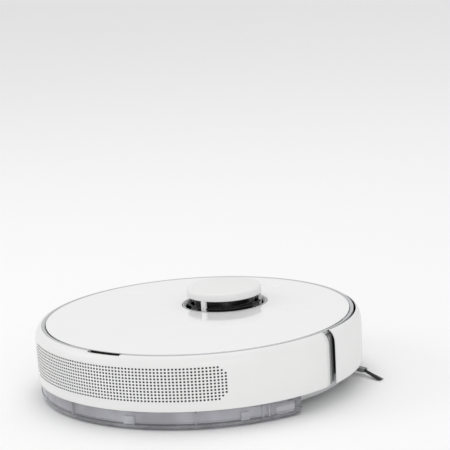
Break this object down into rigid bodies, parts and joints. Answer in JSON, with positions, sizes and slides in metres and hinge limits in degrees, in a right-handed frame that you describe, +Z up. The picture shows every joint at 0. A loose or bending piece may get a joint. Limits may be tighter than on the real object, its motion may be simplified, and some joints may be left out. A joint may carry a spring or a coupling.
{
  "type": "robot vacuum cleaner",
  "caption": "Round robot vacuum and mop with a lidar turret, lifting lid, floating front bumper, sprung drive wheels, roller brush, side brush and a rear water tank.",
  "frame": {"origin": "on the floor under the centre of the round body", "axes": "+Z up, +Y towards the front bumper, +X to the machine's right"},
  "size_m": [0.3535, 0.3515, 0.0965],
  "materials": {
    "gloss_white": "high gloss",
    "satin_white": "satin",
    "trim_grey": "satin",
    "liner_grey": "satin",
    "base_grey": "fine grain",
    "frame_grey": "fine grain",
    "dark_plastic": "satin",
    "dark_window": "polished",
    "smoke": "clear, tinted",
    "rubber": "matt",
    "tyre": "matt",
    "cloth": "short pile",
    "filter": "pleated",
    "board": "lacquered",
    "steel": "drawn",
    "contact": "plated",
    "accent": "fine grain",
    "bristle": "nylon bristle"
  },
  "bodies": {
    "base": {"front_plate": "gloss_white", "rear_shell": "satin_white", "trim_ring": "trim_grey", "turret_collar": "trim_grey", "seam_liner_right": "liner_grey", "seam_liner_left": "liner_grey", "chassis_base": "base_grey", "upper_frame": "frame_grey", "bin_lid": "frame_grey", "lidar_base": "dark_plastic", "side_brush_motor": "dark_plastic", "fan_housing": "dark_plastic", "battery_pack": "dark_plastic", "cliff_sensor_front_right": "dark_window", "cliff_sensor_front_left": "dark_window", "cliff_sensor_side_right": "dark_window", "cliff_sensor_side_left": "dark_window", "dust_bin": "smoke", "hepa_filter": "filter", "main_board": "board", "arm_spring_right": "steel", "arm_spring_left": "steel", "charge_contact_right": "contact", "charge_contact_left": "contact"},
    "bumper": {"bumper_shell": "satin_white", "bumper_window": "dark_window"},
    "lid": {"lid_panel": "gloss_white"},
    "power_key": {"power_button": "gloss_white"},
    "home_key": {"home_button": "gloss_white"},
    "turret": {"turret_cap": "satin_white"},
    "lidar": {"lidar_rotor": "dark_plastic"},
    "arm_right": {"wheel_arm_right": "dark_plastic", "wheel_motor_right": "steel"},
    "arm_left": {"wheel_arm_left": "dark_plastic", "wheel_motor_left": "steel"},
    "wheel_right": {"wheel_hub_right": "liner_grey", "wheel_tyre_right": "tyre"},
    "wheel_left": {"wheel_hub_left": "liner_grey", "wheel_tyre_left": "tyre"},
    "caster": {"caster_swivel": "dark_plastic"},
    "caster_roll": {"caster_wheel": "rubber"},
    "deck": {"brush_deck": "frame_grey", "brush_drive": "dark_plastic", "brush_guard": "dark_plastic", "brush_bearing": "accent"},
    "roller": {"brush_roller": "rubber"},
    "latch_right": {"guard_latch_right": "accent"},
    "latch_left": {"guard_latch_left": "accent"},
    "side_brush": {"side_brush_hub": "liner_grey", "side_brush_screw": "steel", "side_brush_bristles": "bristle"},
    "fan": {"fan_impeller": "satin_white"},
    "tank": {"water_tank": "smoke", "tank_plug": "rubber", "mop_plate": "base_grey", "mop_pad": "cloth"},
    "tank_grip_right": {"tank_latch_right": "liner_grey"},
    "tank_grip_left": {"tank_latch_left": "liner_grey"}
  },
  "joints": [
    {"name": "bumper_press", "type": "slide", "parent": "base", "child": "bumper", "axis": [0, -1, 0], "range_m": [0, 0.003], "stiffness_N_per_m": 250, "springref_m": -0.004},
    {"name": "lid_hinge", "type": "hinge", "parent": "base", "child": "lid", "pos_m": [0, 0.052, 0.0786], "axis": [-1, 0, 0], "range_deg": [0, 85]},
    {"name": "power_press", "type": "slide", "parent": "base", "child": "power_key", "axis": [0, 0, -1], "range_m": [0, 0.0008], "stiffness_N_per_m": 500, "springref_m": -0.001},
    {"name": "home_press", "type": "slide", "parent": "base", "child": "home_key", "axis": [0, 0, -1], "range_m": [0, 0.0008], "stiffness_N_per_m": 500, "springref_m": -0.001},
    {"name": "turret_press", "type": "slide", "parent": "base", "child": "turret", "axis": [0, 0, -1], "range_m": [0, 0.0008], "stiffness_N_per_m": 900, "springref_m": -0.002},
    {"name": "lidar_spin", "type": "hinge", "parent": "base", "child": "lidar", "pos_m": [0, 0.052, 0.08], "axis": [0, 0, 1], "continuous": true},
    {"name": "suspension_right", "type": "hinge", "parent": "base", "child": "arm_right", "pos_m": [0.094, -0.048, 0.046], "axis": [-1, 0, 0], "range_deg": [0, 22], "stiffness_Nm_per_rad": 0.35, "springref_deg": 51.57, "deforming": ["arm_spring_right"]},
    {"name": "suspension_left", "type": "hinge", "parent": "base", "child": "arm_left", "pos_m": [-0.094, -0.048, 0.046], "axis": [-1, 0, 0], "range_deg": [0, 22], "stiffness_Nm_per_rad": 0.35, "springref_deg": 51.57, "deforming": ["arm_spring_left"]},
    {"name": "wheel_spin_right", "type": "hinge", "parent": "arm_right", "child": "wheel_right", "pos_m": [0.114, 0, 0.035], "axis": [1, 0, 0], "continuous": true},
    {"name": "wheel_spin_left", "type": "hinge", "parent": "arm_left", "child": "wheel_left", "pos_m": [-0.114, 0, 0.035], "axis": [1, 0, 0], "continuous": true},
    {"name": "caster_swing", "type": "hinge", "parent": "base", "child": "caster", "pos_m": [0, 0.134, 0.024], "axis": [0, 0, 1], "continuous": true},
    {"name": "caster_spin", "type": "hinge", "parent": "caster", "child": "caster_roll", "pos_m": [0, 0.126, 0.014], "axis": [1, 0, 0], "continuous": true},
    {"name": "deck_float", "type": "hinge", "parent": "base", "child": "deck", "pos_m": [0, 0.082, 0.029], "axis": [-1, 0, 0], "range_deg": [0, 1.5]},
    {"name": "roller_spin", "type": "hinge", "parent": "deck", "child": "roller", "pos_m": [0, 0.052, 0.0225], "axis": [1, 0, 0], "continuous": true},
    {"name": "guard_latch_press_right", "type": "slide", "parent": "deck", "child": "latch_right", "axis": [0, -1, 0], "range_m": [0, 0.0016], "stiffness_N_per_m": 300, "springref_m": -0.002},
    {"name": "guard_latch_press_left", "type": "slide", "parent": "deck", "child": "latch_left", "axis": [0, -1, 0], "range_m": [0, 0.0016], "stiffness_N_per_m": 300, "springref_m": -0.002},
    {"name": "side_brush_spin", "type": "hinge", "parent": "base", "child": "side_brush", "pos_m": [0.107, 0.105, 0.01], "axis": [0, 0, 1], "continuous": true},
    {"name": "fan_spin", "type": "hinge", "parent": "base", "child": "fan", "pos_m": [0.042, -0.118, 0.05], "axis": [0, 0, 1], "continuous": true},
    {"name": "tank_slide", "type": "slide", "parent": "base", "child": "tank", "axis": [0, -1, 0], "range_m": [0, 0.15]},
    {"name": "tank_grip_press_right", "type": "slide", "parent": "tank", "child": "tank_grip_right", "axis": [-0.9045, 0.4266, 0], "range_m": [0, 0.003], "stiffness_N_per_m": 300, "springref_m": -0.003},
    {"name": "tank_grip_press_left", "type": "slide", "parent": "tank", "child": "tank_grip_left", "axis": [0.9045, 0.4266, 0], "range_m": [0, 0.003], "stiffness_N_per_m": 300, "springref_m": -0.003}
  ]
}
